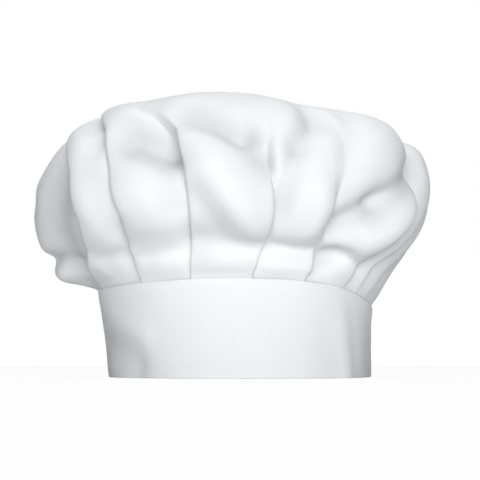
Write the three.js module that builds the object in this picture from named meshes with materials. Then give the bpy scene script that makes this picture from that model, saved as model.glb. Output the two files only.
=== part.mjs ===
// A soft chef hat: a puffed, pleated crown standing on an upright band.
// Millimetres, +Z up, the rim on Z = 0, the front towards -Y, the wearer's left towards +X.
import * as THREE from "three";

// Cloth
const CROWN_CLOTH = 1.0;
const BAND_CLOTH = 2.2;
const SEAM_GAP = 0.3;
const SEAM_LAYERS = 1.4;      // spacing of the pleat's layers where they are sewn down
const NECK_RISE = 2.5;        // the crown climbs this far before it spreads
const CENTRE_X = 2;           // the heart stands here, so that the whole hat's box is centred
const CENTRE_Y = 1.4;

// The plan and the crown are given at eight bearings, 45 degrees apart, from the front towards +X.
const BEARINGS = ["front", "frontRight", "right", "backRight", "back", "backLeft", "left", "frontLeft"];
const PLAN = {
  front:      { hem: 88, seam: 88,  height: 65 },
  frontRight: { hem: 95, seam: 96,  height: 61.5 },
  right:      { hem: 101, seam: 101, height: 52 },
  backRight:  { hem: 93, seam: 93,  height: 57 },
  back:       { hem: 87, seam: 87,  height: 61 },
  backLeft:   { hem: 89, seam: 92,  height: 61 },
  left:       { hem: 90, seam: 98,  height: 61.5 },
  frontLeft:  { hem: 88, seam: 93,  height: 63 },
};

// The crown is measured from its heart, on the middle line. Level 0 is the seam and level 1 is the top.
const HEART = 128;
const TOP_REACH = 76;
const LEVELS = [0, 0.04, 0.08, 0.13, 0.18, 0.23, 0.29, 0.35, 0.42, 0.5, 0.6, 0.7, 0.8, 0.9, 1];
// Distance from the heart at each level above the seam
const REACH = {
  front:      [106, 105, 107, 116, 123, 127, 127, 122, 114, 102, 91, 83, 78, TOP_REACH],
  frontRight: [115, 114, 119, 128, 134, 137, 136, 129, 118, 103, 91, 83, 78, TOP_REACH],
  right:      [127, 127, 128, 133, 138, 142, 143, 138, 123, 104, 91, 83, 78, TOP_REACH],
  backRight:  [119, 121, 126, 132, 137, 139, 136, 130, 119, 104, 92, 84, 78, TOP_REACH],
  back:       [110, 113, 118, 125, 130, 132, 129, 123, 114, 102, 91, 83, 78, TOP_REACH],
  backLeft:   [117, 121, 127, 134, 138, 139, 136, 129, 118, 104, 93, 84, 78, TOP_REACH],
  left:       [124, 135, 142, 146, 146, 145, 141, 133, 122, 107, 94, 84, 78, TOP_REACH],
  frontLeft:  [112, 113, 119, 129, 136, 139, 136, 129, 119, 105, 93, 84, 78, TOP_REACH],
};

// Each pleat's edge runs up the crown through one bearing at each of these levels.
const STOPS = [0, 0.1, 0.2, 0.3, 0.4, 0.5];
// faces: the way the edge looks round the crown (+1 towards +X at the front). tuck: cloth hidden under it.
// low, high: spacing of its layers on the lower and the upper crown. opens, gone: levels where the tuck
// has come undone and where the step has died away. plain: columns in the panel after it.
const PLEATS = [
  { name: "backLeft3",  faces: -1, edge: [-158, -158, -158, -158, -158, -158],
    tuck: 15, low: 1.6, high: 1.8, opens: 0.36, gone: 0.62, plain: 4 },
  { name: "backLeft2",  faces: -1, edge: [-135, -135, -135, -136, -137, -137],
    tuck: 15, low: 1.6, high: 1.8, opens: 0.38, gone: 0.62, plain: 4 },
  { name: "backLeft1",  faces: -1, edge: [-112, -113, -115, -117, -118, -118],
    tuck: 13, low: 1.6, high: 1.8, opens: 0.36, gone: 0.60, plain: 3 },
  { name: "left2",      faces: -1, edge: [-93, -93, -95, -98, -100, -101],
    tuck: 10, low: 1.6, high: 1.6, opens: 0.22, gone: 0.50, plain: 4 },
  { name: "left1",      faces: -1, edge: [-75, -58, -47.5, -49, -57, -64],
    tuck: 9, low: 2.4, high: 2.8, opens: 0.40, gone: 0.55, plain: 4 },
  { name: "frontLeft2", faces: -1, edge: [-41.5, -37, -32.5, -32, -38, -50],
    tuck: 14, low: 1.8, high: 2.4, opens: 0.47, gone: 0.60, plain: 4 },
  { name: "frontLeft1", faces: -1, edge: [-18, -16, -13, -13, -15, -24],
    tuck: 15, low: 1.6, high: 2.6, opens: 0.43, gone: 0.58, plain: 5 },
  { name: "frontRight1", faces: 1, edge: [8.5, 12.5, 13, 11, 8.5, 5],
    tuck: 14, low: 1.6, high: 1.8, opens: 0.36, gone: 0.50, plain: 4 },
  { name: "frontRight2", faces: 1, edge: [31, 34.5, 31, 30, 31, 32],
    tuck: 14, low: 1.8, high: 1.6, opens: 0.22, gone: 0.40, plain: 5 },
  { name: "frontRight3", faces: 1, edge: [51, 55, 59.5, 64, 65, 63],
    tuck: 9, low: 2.6, high: 3.2, opens: 0.38, gone: 0.55, plain: 1 },
  { name: "right1",     faces: 1, edge: [60.5, 63, 71.5, 78, 81, 81],
    tuck: 7, low: 2.0, high: 2.4, opens: 0.34, gone: 0.55, plain: 1 },
  { name: "right2",     faces: 1, edge: [69, 74, 84, 91, 95, 96],
    tuck: 7, low: 1.8, high: 2.0, opens: 0.30, gone: 0.50, plain: 1 },
  { name: "right3",     faces: 1, edge: [80, 90, 97, 103, 108, 110],
    tuck: 8, low: 1.6, high: 1.8, opens: 0.28, gone: 0.50, plain: 2 },
  { name: "backRight1", faces: 1, edge: [97, 105, 112, 118, 122, 124],
    tuck: 10, low: 1.6, high: 1.8, opens: 0.30, gone: 0.55, plain: 3 },
  { name: "backRight2", faces: 1, edge: [117, 122, 127, 132, 136, 138],
    tuck: 14, low: 1.6, high: 1.8, opens: 0.36, gone: 0.60, plain: 3 },
  { name: "backRight3", faces: 1, edge: [139, 141, 143, 146, 149, 150],
    tuck: 15, low: 1.6, high: 1.8, opens: 0.38, gone: 0.62, plain: 3 },
  { name: "backRight4", faces: 1, edge: [162, 162, 163, 164, 165, 166],
    tuck: 15, low: 1.6, high: 1.8, opens: 0.36, gone: 0.62, plain: 5 },
];
const LAST_STOP = STOPS[STOPS.length - 1];
const TUCK_LOSS = 0.6;        // share of the tuck let out on the way up to where it opens
const OPENING = 0.09;         // half the rise over which a tuck comes undone
const OPEN_STEP = 16;         // width of the soft step an open tuck leaves
const OPEN_SHARE = 0.28;      // and its limit as a share of the two panels beside it
const EDGE_CLEAR = 1.2;       // the lower panel shows this far past the pleat's edge
// A pleat's five columns as a wall (millimetres, layers) and as a soft step (shares of its width, layers)
const WALL = [[-0.6, 2], [-0.2, 1.4], [0.2, 0.7], [0.6, 0.15], [1.8, 0]];
const OPEN = [[-0.5, 2], [-0.25, 1.6], [0, 1], [0.25, 0.4], [0.5, 0]];
const PUFF = 4.5;             // rise of a panel of the usual width between its pleats
const PUFF_PANEL = 45;        // the usual width
const CROWN_ROWS = [0, 0.012, 0.035, 0.065, 0.09, 0.115, 0.15, 0.19, 0.23, 0.28, 0.33, 0.385, 0.44, 0.5,
  0.58, 0.7, 0.85];

// Hollows (depth below 0) and swells (above 0): a soft stroke between two places, each a bearing and a
// level, of a half width in millimetres. panel: the pleat whose panel it stays on, or every panel.
const MM_PER_DEGREE = 2.1;
const MM_PER_LEVEL = 270;
const CROWN_DENTS = [
  { name: "leftHollow",    panel: "frontLeft2",  from: [-29, 0.365], to: [-16, 0.345], half: 17, depth: -13 },
  { name: "leftHook",      panel: "left1",       from: [-55, 0.47],  to: [-38, 0.39],  half: 7,  depth: -7 },
  { name: "middleHook",    panel: "frontLeft2",  from: [-23, 0.43],  to: [-15, 0.37],  half: 7,  depth: -5 },
  { name: "frontHollow1",  panel: "frontLeft1",  from: [-10, 0.43],  to: [2, 0.39],    half: 9,  depth: -9 },
  { name: "frontHollow2",  panel: "frontLeft1",  from: [2, 0.39],    to: [10, 0.32],   half: 10, depth: -8 },
  { name: "frontHollow3",  panel: "frontLeft1",  from: [10, 0.32],   to: [12, 0.28],   half: 7,  depth: -3 },
  { name: "slantRidge",    panel: "frontLeft1",  from: [-7, 0.30],   to: [9, 0.16],    half: 11, depth: 5 },
  { name: "underSlant",    panel: "frontLeft1",  from: [-11, 0.24],  to: [-4, 0.18],   half: 9,  depth: -4 },
  { name: "leftWaist",     panel: "frontLeft2",  from: [-36, 0.16],  to: [-16, 0.15],  half: 8,  depth: -3 },
  { name: "frontWaist",    panel: "frontLeft1",  from: [-11, 0.15],  to: [8, 0.14],    half: 8,  depth: -5 },
  { name: "rightWaist",    panel: "frontRight1", from: [15, 0.115],  to: [34, 0.12],   half: 7,  depth: -5 },
  { name: "leftSwell",     panel: "frontLeft2",  from: [-37, 0.06],  to: [-20, 0.045], half: 8,  depth: 3 },
  { name: "frontSwell",    panel: "frontLeft1",  from: [-8, 0.05],   to: [6, 0.055],   half: 8,  depth: 4.5 },
  { name: "rightSwell",    panel: "frontRight1", from: [16, 0.04],   to: [32, 0.04],   half: 7,  depth: 4 },
  { name: "veeValley",     panel: "frontRight1", from: [32, 0.47],   to: [15, 0.25],   half: 7,  depth: -8 },
  { name: "rightRidge",    panel: "every",       from: [26, 0.38],   to: [26, 0.17],   half: 8,  depth: 4.5 },
  { name: "slantValley1",  panel: "every",       from: [35, 0.21],   to: [43, 0.26],   half: 8,  depth: -8 },
  { name: "slantValley2",  panel: "every",       from: [43, 0.26],   to: [64, 0.33],   half: 8,  depth: -8 },
  { name: "sideSwell",     panel: "frontRight2", from: [46, 0.19],   to: [57, 0.26],   half: 14, depth: 5 },
  { name: "sidePatch",     panel: "frontRight2", from: [37, 0.08],   to: [44, 0.12],   half: 7,  depth: -6 },
  { name: "sideSwellLow",  panel: "frontRight2", from: [47, 0.04],   to: [54, 0.03],   half: 6,  depth: 3 },
  { name: "topRightSwell", panel: "every",       from: [36, 0.36],   to: [52, 0.37],   half: 16, depth: 4 },
  { name: "leftFlat",      panel: "left2",       from: [-54, 0.34],  to: [-72, 0.12],  half: 18, depth: -12 },
  { name: "leftNotch1",    panel: "every",       from: [-104, 0.155], to: [-82, 0.13], half: 4.5, depth: -8 },
  { name: "leftNotch2",    panel: "every",       from: [-82, 0.13],  to: [-72, 0.08],  half: 4.5, depth: -6 },
  { name: "leftLobe",      panel: "every",       from: [-100, 0.115], to: [-84, 0.09], half: 6,  depth: 2.5 },
  { name: "leftNick",      panel: "every",       from: [-96, 0.28],  to: [-80, 0.27],  half: 5,  depth: -4 },
  { name: "rightNick",     panel: "every",       from: [84, 0.44],   to: [62, 0.37],   half: 6,  depth: -5 },
];

// The band's own soft strokes: bearings and shares of the band's height.
const BAND_COLUMNS = 56;
const BAND_ROWS = [0, 0.25, 0.5, 0.75, 1];
const BAND_MM_PER_DEGREE = 1.6;
const BAND_MM_PER_SHARE = 62;
const BAND_DENTS = [
  { name: "rightCorner", from: [53, 0], to: [53, 1], half: 8, depth: 2.5 },
  { name: "rightFlat", from: [76, 0], to: [76, 1], half: 16, depth: -2.5 },
  { name: "leftCrease", from: [-76, 0.85], to: [-44, 0.42], half: 9, depth: 1.5 },
  { name: "leftSlack", from: [-66, 0.15], to: [-42, 0.1], half: 14, depth: -3 },
];

const RADIANS = Math.PI / 180;
const mix = (a, b, t) => a + (b - a) * t;
const clamp = (x, low, high) => Math.min(high, Math.max(low, x));
const turnTo = (degrees) => ((degrees + 540) % 360) - 180;

function ease(low, high, x) {
  const t = clamp((x - low) / (high - low), 0, 1);
  return t * t * (3 - 2 * t);
}

// A smooth closed curve through eight values at the named bearings.
function around(values, bearing) {
  const place = (((bearing / 45) % 8) + 8) % 8;
  const i = Math.floor(place) % 8;
  const t = place - Math.floor(place);
  const [a, b, c, d] = [7, 0, 1, 2].map((step) => values[(i + step) % 8]);
  return b + 0.5 * t * (c - a + t * (2 * a - 5 * b + 4 * c - d + t * (3 * (b - c) + d - a)));
}

// A smooth curve through values at uneven steps.
function along(steps, values, x) {
  const last = steps.length - 1;
  const rise = (k) => (values[k + 1] - values[k]) / (steps[k + 1] - steps[k]);
  const lean = (k) => {
    if (k === 0) return rise(0);
    if (k === last) return 0;
    return (rise(k - 1) + rise(k)) / 2;
  };
  let i = 0;
  while (i < last - 1 && x >= steps[i + 1]) i += 1;
  const h = steps[i + 1] - steps[i];
  const t = (x - steps[i]) / h;
  const t2 = t * t;
  const t3 = t2 * t;
  return (2 * t3 - 3 * t2 + 1) * values[i] + (t3 - 2 * t2 + t) * h * lean(i)
    + (3 * t2 - 2 * t3) * values[i + 1] + (t3 - t2) * h * lean(i + 1);
}

function straight(steps, values, x) {
  let i = 0;
  while (i < steps.length - 2 && x >= steps[i + 1]) i += 1;
  return mix(values[i], values[i + 1], clamp((x - steps[i]) / (steps[i + 1] - steps[i]), 0, 1));
}

const plan = (key, bearing) => around(BEARINGS.map((name) => PLAN[name][key]), bearing);
const outward = (bearing) => new THREE.Vector3(Math.sin(bearing * RADIANS), -Math.cos(bearing * RADIANS), 0);

// The crown without pleats or dents.
function crownBase(bearing, level) {
  const radius = plan("seam", bearing);
  const drop = plan("height", bearing) - HEART;
  const low = Math.atan2(drop, radius);
  const tilt = mix(low, Math.PI / 2, level);
  const reaches = LEVELS.map((_, k) => {
    if (k === 0) return Math.hypot(radius, drop);
    return around(BEARINGS.map((name) => REACH[name][k - 1]), bearing);
  });
  const reach = along(LEVELS, reaches, level);
  const neck = NECK_RISE * ease(0, 0.015, level) * (1 - ease(0.05, 0.15, level));
  const point = outward(bearing).multiplyScalar(reach * Math.cos(tilt));
  point.z = HEART + reach * Math.sin(tilt) + neck + SEAM_GAP * (1 - ease(0, 0.1, level));
  return point;
}

// Square to the crown, but level at the seam, where the layers lie side by side on the band.
function crownNormal(bearing, level) {
  const at = clamp(level, 0.004, 0.99);
  const round = crownBase(bearing + 0.5, at).sub(crownBase(bearing - 0.5, at));
  const up = crownBase(bearing, at + 0.004).sub(crownBase(bearing, at - 0.004));
  const square = round.cross(up).normalize();
  return outward(bearing).lerp(square, ease(0, 0.03, level)).normalize();
}

function perDegree(bearing, level) {
  const point = crownBase(bearing, level);
  return Math.hypot(point.x, point.y) * RADIANS;
}

// How far a list of strokes moves one place.
function strokes(list, bearing, share, perDeg, perShare, onStroke) {
  let total = 0;
  for (const stroke of list) {
    if (!onStroke(stroke)) continue;
    const du = turnTo(bearing - stroke.from[0]) * perDeg;
    const dv = (share - stroke.from[1]) * perShare;
    const eu = (stroke.to[0] - stroke.from[0]) * perDeg;
    const ev = (stroke.to[1] - stroke.from[1]) * perShare;
    const t = clamp((du * eu + dv * ev) / (eu * eu + ev * ev), 0, 1);
    const away = Math.hypot(du - t * eu, dv - t * ev) / stroke.half;
    total += stroke.depth * Math.exp(-away * away);
  }
  return total;
}

// The five columns of one pleat at one level: offsets round the crown and heights over it, both in
// millimetres, in the order the cloth runs. Folded under the edge at first, then a wall, then a soft step.
function pleatStations(pleat, level, panelWidth, slope, spacing, spread) {
  const standing = ease(pleat.opens - OPENING, pleat.opens, level);
  const opened = ease(pleat.opens, pleat.opens + OPENING, level);
  const letOut = 1 - TUCK_LOSS * Math.min(1, level / pleat.opens);
  const tuck = Math.min(pleat.tuck * letOut, 0.9 * panelWidth - 2);
  const folded = [
    [0, 2 * spacing],
    [0, spacing],
    [-tuck, spacing - slope * tuck],
    [-tuck, -slope * tuck],
    [EDGE_CLEAR, 0],
  ];
  const stations = folded.map(([x, height], k) => {
    const wallX = mix(x, WALL[k][0], standing);
    const wallHeight = mix(height, WALL[k][1] * spacing, standing);
    return [mix(wallX, OPEN[k][0] * spread, opened), mix(wallHeight, OPEN[k][1] * spacing, opened)];
  });
  if (pleat.faces > 0) return stations;
  return stations.reverse().map(([x, height]) => [-x, height]);
}

// Where a panel's plain columns stand, as shares of its width: one over the inner end of each tuck it
// covers, so that the panel and the layers under it bend together, and the rest evenly between.
function panelShares(plain, overStart, overStop) {
  const even = 1 / (plain + 1);
  const first = mix(even, overStart, ease(0, 0.1, overStart));
  const last = 1 - mix(even, overStop, ease(0, 0.1, overStop));
  if (plain === 1) return [overStop > 0 ? last : first];
  return Array.from({ length: plain }, (_, j) => mix(first, last, j / (plain - 1)));
}

// The path of the crown's cloth at one level. Each column has a bearing, a height over the base, the panel
// it belongs to, the panel over it, and back where the cloth runs back under itself to the next column.
function crownPath(level) {
  const count = PLEATS.length;
  const edges = PLEATS.map((pleat) => straight(STOPS, pleat.edge, Math.min(level, LAST_STOP)));
  const gaps = edges.map((edge, k) => (edges[(k + 1) % count] - edge + 360) % 360);
  const scales = edges.map((edge) => perDegree(edge, level));
  const pleats = PLEATS.map((pleat, k) => {
    const before = (k + count - 1) % count;
    const top = pleat.faces > 0 ? before : k;         // the panel that lies over the tuck
    const far = pleat.faces > 0 ? before : (k + 1) % count;
    const height = mix(pleat.low, pleat.high, ease(0.15, 0.4, level));
    const spacing = mix(SEAM_LAYERS, height, ease(0, 0.1, level)) * (1 - ease(pleat.opens, pleat.gone, level));
    const panelWidth = gaps[top] * scales[k];
    const slope = PLEATS[far].faces === pleat.faces ? 2 * spacing / panelWidth : 0;
    const spread = Math.min(OPEN_STEP, OPEN_SHARE * (gaps[k] + gaps[before]) * scales[k]);
    return pleatStations(pleat, level, panelWidth, slope, spacing, spread);
  });
  const puff = PUFF * ease(0, 0.14, level) * (1 - ease(0.42, 0.68, level));
  const columns = [];
  PLEATS.forEach((pleat, k) => {
    const before = (k + count - 1) % count;
    pleats[k].forEach(([x, height], station) => {
      const onBefore = pleat.faces > 0 ? station < 4 : station === 0;
      const panel = PLEATS[onBefore ? before : k].name;
      const lowest = station === (pleat.faces > 0 ? 4 : 0);
      const over = lowest ? PLEATS[onBefore ? k : before].name : panel;
      const back = station === (pleat.faces > 0 ? 1 : 2);
      columns.push({ bearing: edges[k] + x / scales[k], height, panel, over, back });
    });
    const after = (k + 1) % count;
    const [lastX, lastHeight] = pleats[k][4];
    const [nextX, nextHeight] = pleats[after][0];
    const start = edges[k] + lastX / scales[k];
    const stop = edges[k] + gaps[k] + nextX / scales[after];
    const width = (stop - start) * scales[k];
    const rise = puff * Math.min(1.2, width / PUFF_PANEL);
    const overStart = pleat.faces < 0 ? pleats[k][2][0] - lastX : 0;
    const overStop = PLEATS[after].faces > 0 ? nextX - pleats[after][2][0] : 0;
    for (const t of panelShares(pleat.plain, overStart / width, overStop / width)) {
      const height = mix(lastHeight, nextHeight, t) + rise * Math.sin(Math.PI * t) ** 0.8;
      columns.push({ bearing: mix(start, stop, t), height, panel: pleat.name, over: pleat.name });
    }
  });
  return columns;
}

// One face of the crown's cloth at one level. side: +1 outside, -1 inside.
function crownRow(level, side) {
  const columns = crownPath(level);
  const settle = ease(0, 0.02, level);
  const sewn = -SEAM_LAYERS * (1 - ease(0, 0.05, level));
  for (const column of columns) {
    const moved = [column.panel, column.over].map((panel) => strokes(CROWN_DENTS, column.bearing, level,
      MM_PER_DEGREE, MM_PER_LEVEL, (stroke) => stroke.panel === "every" || stroke.panel === panel));
    column.scale = perDegree(column.bearing, level);
    column.height += sewn + settle * Math.min(...moved);
  }
  const count = columns.length;
  return columns.map((here, j) => {
    const last = columns[(j + count - 1) % count];
    const next = columns[(j + 1) % count];
    const inStep = new THREE.Vector2(turnTo(here.bearing - last.bearing) * here.scale, here.height - last.height);
    const outStep = new THREE.Vector2(turnTo(next.bearing - here.bearing) * here.scale, next.height - here.height);
    inStep.normalize();
    outStep.normalize();
    const mitre = new THREE.Vector2(-inStep.y - outStep.y, inStep.x + outStep.x);
    mitre.multiplyScalar(side * CROWN_CLOTH / Math.max(1.1, mitre.lengthSq()));
    const bearing = here.bearing + mitre.x / here.scale;
    const lift = crownNormal(bearing, level).multiplyScalar(here.height + mitre.y);
    return crownBase(bearing, level).add(lift);
  });
}

// A closed body from an outer and an inner grid of rows, with a tip on each or a second open rim. The
// squares from the columns in backs are cut along their other diagonal, so that layers lie parallel.
function clothBody(name, outer, inner, backs, outerTip, innerTip) {
  const rows = outer.length;
  const count = outer[0].length;
  const points = [...outer.flat(), ...inner.flat()];
  const inside = rows * count;
  const faces = [];
  const quad = (a, b, c, d) => faces.push(a, b, c, a, c, d);
  for (let i = 0; i < rows - 1; i += 1) {
    for (let j = 0; j < count; j += 1) {
      const low = i * count + j;
      const lowNext = i * count + (j + 1) % count;
      const high = low + count;
      const highNext = lowNext + count;
      if (backs[j]) {
        quad(lowNext, highNext, high, low);
        quad(inside + lowNext, inside + low, inside + high, inside + highNext);
      } else {
        quad(low, lowNext, highNext, high);
        quad(inside + low, inside + high, inside + highNext, inside + lowNext);
      }
    }
  }
  const top = (rows - 1) * count;
  if (outerTip) points.push(outerTip, innerTip);
  for (let j = 0; j < count; j += 1) {
    const next = (j + 1) % count;
    quad(next, j, inside + j, inside + next);
    if (outerTip) {
      faces.push(top + j, top + next, 2 * inside);
      faces.push(inside + top + next, inside + top + j, 2 * inside + 1);
    } else {
      quad(top + j, top + next, inside + top + next, inside + top + j);
    }
  }
  const geometry = new THREE.BufferGeometry();
  const flat = points.flatMap((point) => [point.x, point.y, point.z]);
  geometry.setAttribute("position", new THREE.Float32BufferAttribute(flat, 3));
  geometry.setIndex(faces);
  geometry.computeVertexNormals();
  const material = new THREE.MeshStandardMaterial({ color: 0xf2f2f4, roughness: 0.9, metalness: 0 });
  const mesh = new THREE.Mesh(geometry, material);
  mesh.name = name;
  return mesh;
}

function crown() {
  const tip = (side) => new THREE.Vector3(0, 0, HEART + TOP_REACH + side * CROWN_CLOTH / 2);
  const face = (side) => CROWN_ROWS.map((level) => crownRow(level, side));
  const backs = crownPath(0).map((column) => Boolean(column.back));
  return clothBody("crown", face(1), face(-1), backs, tip(1), tip(-1));
}

function band() {
  const row = (share, side) => Array.from({ length: BAND_COLUMNS }, (_, j) => {
    const bearing = j * 360 / BAND_COLUMNS;
    const dent = strokes(BAND_DENTS, bearing, share, BAND_MM_PER_DEGREE, BAND_MM_PER_SHARE, () => true);
    const radius = mix(plan("hem", bearing), plan("seam", bearing), share);
    const point = outward(bearing).multiplyScalar(radius + dent * (1 - share * share) + side * BAND_CLOTH / 2);
    point.z = share * plan("height", bearing);
    return point;
  });
  const face = (side) => BAND_ROWS.map((share) => row(share, side));
  return clothBody("band", face(1), face(-1), Array(BAND_COLUMNS).fill(false));
}

const hat = new THREE.Group();
hat.name = "chef_hat";
hat.position.set(CENTRE_X, CENTRE_Y, 0);
hat.add(band(), crown());

export default hat;
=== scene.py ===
"""A soft chef hat in white twill, standing on its band.

The crown is one circle of cloth, knife-pleated into an upright doubled band and puffed out over it. The
front is towards -Y and the photograph's right is +X. Tables are in millimetres and degrees, and the
meshes in metres.
"""
from __future__ import annotations

import logging
import math
from dataclasses import dataclass, field
from enum import Enum
from typing import Any, Sequence

import bpy
import numpy as np
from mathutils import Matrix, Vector

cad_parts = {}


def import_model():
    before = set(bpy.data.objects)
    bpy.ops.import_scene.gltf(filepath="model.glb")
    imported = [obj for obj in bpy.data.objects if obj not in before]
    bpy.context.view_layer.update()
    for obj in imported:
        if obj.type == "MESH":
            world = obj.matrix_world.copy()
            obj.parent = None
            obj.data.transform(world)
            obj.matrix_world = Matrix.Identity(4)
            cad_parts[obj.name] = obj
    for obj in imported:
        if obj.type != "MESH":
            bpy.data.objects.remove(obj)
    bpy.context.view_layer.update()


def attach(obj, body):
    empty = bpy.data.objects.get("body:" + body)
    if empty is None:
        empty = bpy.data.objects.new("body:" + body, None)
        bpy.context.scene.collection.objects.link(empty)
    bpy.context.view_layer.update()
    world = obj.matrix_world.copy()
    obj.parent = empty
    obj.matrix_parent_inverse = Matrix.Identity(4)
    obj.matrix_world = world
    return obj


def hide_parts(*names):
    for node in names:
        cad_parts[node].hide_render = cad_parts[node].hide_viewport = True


log = logging.getLogger("chef_hat")

MM = 0.001
SEED = 41
WEAVE = "weave"
# Point attribute for painted shade: how far each point lies in a hollow, which darkens the cloth's colour
# there
PAINTED_SHADE = "hollow"
Array = np.ndarray
Place = tuple[float, float, float]
Colour = tuple[float, float, float, float]
Pair = tuple[float, float]
Options = dict[Any, Any] | None
WHITE: Colour = (1.0, 1.0, 1.0, 1.0)
BLACK: Colour = (0.0, 0.0, 0.0, 1.0)


class Facing(Enum):
    """The way a pleat's edge looks round the crown, seen from the front."""

    LEFT = -1
    RIGHT = 1


class Held(Enum):
    """How a sheet of cloth is held in shape."""

    GATHERED = "gathered"
    FOLDED = "folded"


@dataclass(frozen=True)
class Side:
    """The hat's measures at one of its eight bearings, 45 degrees apart.

    The hem and the seam are the band's radii, and the height is the seam's. The reach is the crown's
    distance from its heart, at each of LEVELS between the first and the last.
    """

    name: str
    hem: float
    seam: float
    height: float
    reach: tuple[float, ...]


@dataclass(frozen=True)
class Pleat:
    """A knife pleat, which gives its name to the panel of cloth that follows it.

    Its edge runs through one bearing at each of STOPS. The tuck is the depth of its hidden fold, and its
    layers are so far apart low on the crown and high on it. Its fold has stood up at the level where it
    opens, and its step has died away where it's gone. Its panel has so many plain columns.
    """

    name: str
    faces: Facing
    edge: tuple[float, ...]
    tuck: float
    low: float
    high: float
    opens: float
    gone: float
    plain: int


@dataclass(frozen=True)
class Stroke:
    """A soft hollow (depth below 0) or swell between two places, on one panel or on EVERY one.

    A place is a bearing and a level, or a bearing and a share of the band's height.
    """

    name: str
    panel: str
    start: Pair
    stop: Pair
    half: float
    depth: float


@dataclass(frozen=True)
class CreaseKind:
    """The spans that one kind of fine crease is drawn from, and the spread of its lean."""

    start: Pair
    lean: float
    length: Pair
    half: Pair
    depth: Pair

    def stroke(self, start: Pair, stop: Pair, random: np.random.Generator) -> Stroke:
        """Draws the width and depth of a crease.

        Args:
            start: The one place.
            stop: The other place.
            random: Where the draws come from.

        Returns:
            The crease.
        """
        half = random.uniform(*self.half)
        depth = random.choice([-1, 1]) * random.uniform(*self.depth)
        return Stroke("crease", EVERY, start, stop, half, depth)


# The crown's heart is the point on its middle line that it is measured from
HEART = 128.0
TOP_REACH = 76.0
CENTRE = (2.0, 1.4)
# Distance between a tuck's layers in the seam, and how far the cloth is lifted just over it
SEAM_LAYERS = 0.8
NECK_RISE = 2.5
LEVELS = (0, 0.04, 0.08, 0.13, 0.18, 0.23, 0.29, 0.35, 0.42, 0.5, 0.6, 0.7, 0.8, 0.9, 1)
SIDES = (
    Side("front", 88, 88, 65, (107, 104, 106.5, 116, 123, 127, 127, 122, 114, 102, 91, 83, 78)),
    Side("front_right", 95, 96, 61.5, (114, 112, 117, 127, 133, 136, 134, 126, 113, 97, 89, 84, 79)),
    Side("right", 101, 101, 48.5, (127, 126, 125.5, 130, 135, 139.5, 141, 139, 118, 98, 89, 84, 79)),
    Side("back_right", 93, 93, 57, (119, 121, 126, 132, 137, 139, 136, 130, 119, 104, 92, 84, 78)),
    Side("back", 87, 87, 61, (110, 113, 118, 125, 130, 132, 129, 123, 114, 102, 91, 83, 78)),
    Side("back_left", 89, 92, 61, (117, 121, 127, 134, 138, 139, 136, 129, 118, 104, 93, 84, 78)),
    Side("left", 90, 98, 61.5, (124, 134, 139, 142, 142, 140, 134, 127, 117, 103, 91, 83, 78)),
    Side("front_left", 88, 93, 63, (111, 111, 116.5, 127.5, 135, 138, 135, 128, 118, 104, 92, 84, 78)),
)

STOPS = (0, 0.1, 0.2, 0.3, 0.4, 0.5)
LEFT, RIGHT = Facing.LEFT, Facing.RIGHT
PLEATS = (
    # name, faces, edge, tuck, low, high, opens, gone, plain
    Pleat("back_left_3", LEFT, (-158, -158, -158, -158, -158, -158), 15, 1.6, 1.8, 0.36, 0.62, 9),
    Pleat("back_left_2", LEFT, (-135, -135, -135, -136, -137, -137), 15, 1.6, 1.8, 0.38, 0.62, 9),
    Pleat("back_left_1", LEFT, (-112, -113, -115, -117, -118, -118), 13, 1.6, 1.8, 0.36, 0.60, 8),
    Pleat("left_2", LEFT, (-93, -93, -95, -98, -100, -101), 10, 1.6, 1.6, 0.22, 0.50, 9),
    Pleat("left_1", LEFT, (-75, -61.5, -50, -48.5, -61, -71), 9, 2.4, 3.2, 0.40, 0.55, 9),
    Pleat("front_left_2", LEFT, (-41.5, -41.5, -34, -35, -40.5, -57), 14, 1.8, 2.8, 0.47, 0.60, 9),
    Pleat("front_left_1", LEFT, (-18, -16, -13, -13, -17, -35), 15, 1.6, 2.8, 0.40, 0.52, 11),
    Pleat("front_right_1", RIGHT, (8.5, 12.5, 13, 11, 8.5, 5), 14, 1.6, 1.8, 0.33, 0.50, 9),
    Pleat("front_right_2", RIGHT, (31, 34.5, 31, 30, 31, 32), 14, 1.8, 1.6, 0.22, 0.34, 12),
    Pleat("front_right_3", RIGHT, (51, 55, 59.5, 64, 65, 63), 9, 3.2, 4.0, 0.38, 0.55, 3),
    Pleat("right_1", RIGHT, (60.5, 63, 71.5, 78, 81, 81), 7, 3.0, 3.2, 0.34, 0.55, 3),
    Pleat("right_2", RIGHT, (69, 74, 84, 91, 95, 96), 7, 2.6, 2.6, 0.30, 0.50, 3),
    Pleat("right_3", RIGHT, (80, 90, 97, 103, 108, 110), 8, 1.6, 1.8, 0.28, 0.50, 4),
    Pleat("back_right_1", RIGHT, (97, 105, 112, 118, 122, 124), 10, 1.6, 1.8, 0.30, 0.55, 6),
    Pleat("back_right_2", RIGHT, (117, 122, 127, 132, 136, 138), 14, 1.6, 1.8, 0.36, 0.60, 8),
    Pleat("back_right_3", RIGHT, (139, 141, 143, 146, 149, 150), 15, 1.6, 1.8, 0.38, 0.62, 8),
    Pleat("back_right_4", RIGHT, (162, 162, 163, 164, 165, 166), 15, 1.6, 1.8, 0.36, 0.62, 11),
)
# The share of its depth that a tuck loses until it opens, the most of the panel over it that it fills,
# and the room that it leaves there
TUCK_LOSS, TUCK_FILLS, TUCK_CLEAR = 0.6, 0.9, 2.0
# The levels that a pleat takes to open, and its step's width: at most so much, or a share of two panels
OPENING, OPEN_STEP, OPEN_SHARE = 0.09, 16.0, 0.28
# How far a panel PUFF_PANEL wide puffs out, at most how many times as far, and its roundness
PUFF, PUFF_PANEL, PUFF_MOST, PUFF_ROUND = 4.5, 45.0, 1.2, 0.8
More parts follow.
